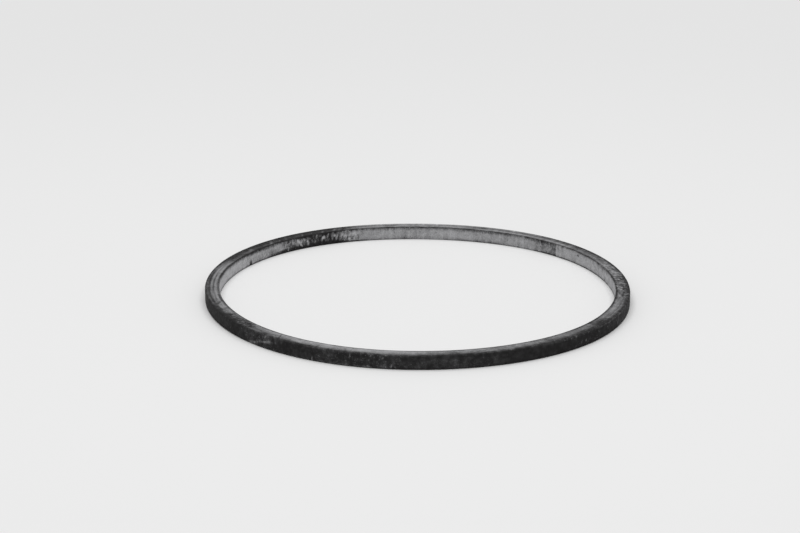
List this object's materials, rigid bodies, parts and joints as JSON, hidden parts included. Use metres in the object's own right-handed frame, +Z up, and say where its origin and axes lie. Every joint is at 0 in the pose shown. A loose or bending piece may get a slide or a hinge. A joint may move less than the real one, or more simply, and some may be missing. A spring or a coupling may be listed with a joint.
{
  "type": "fuel pump gasket",
  "caption": "Flat-lying rubber sealing ring of near-square section with soft outer edges, squeezed between a fuel pump's flange and the round opening of its tank.",
  "frame": {"origin": "on the ring's axis, at the level of its lower sealing face", "axes": "+Z up along the ring's axis, from the lower sealing face to the upper one; X and Y lie in the lower face"},
  "size_m": [0.1298, 0.1298, 0.0042],
  "materials": {
    "rubber": "matt black moulded rubber with a worn grey film of talc"
  },
  "bodies": {
    "root": {"gasket_ring": "rubber"}
  },
  "joints": []
}
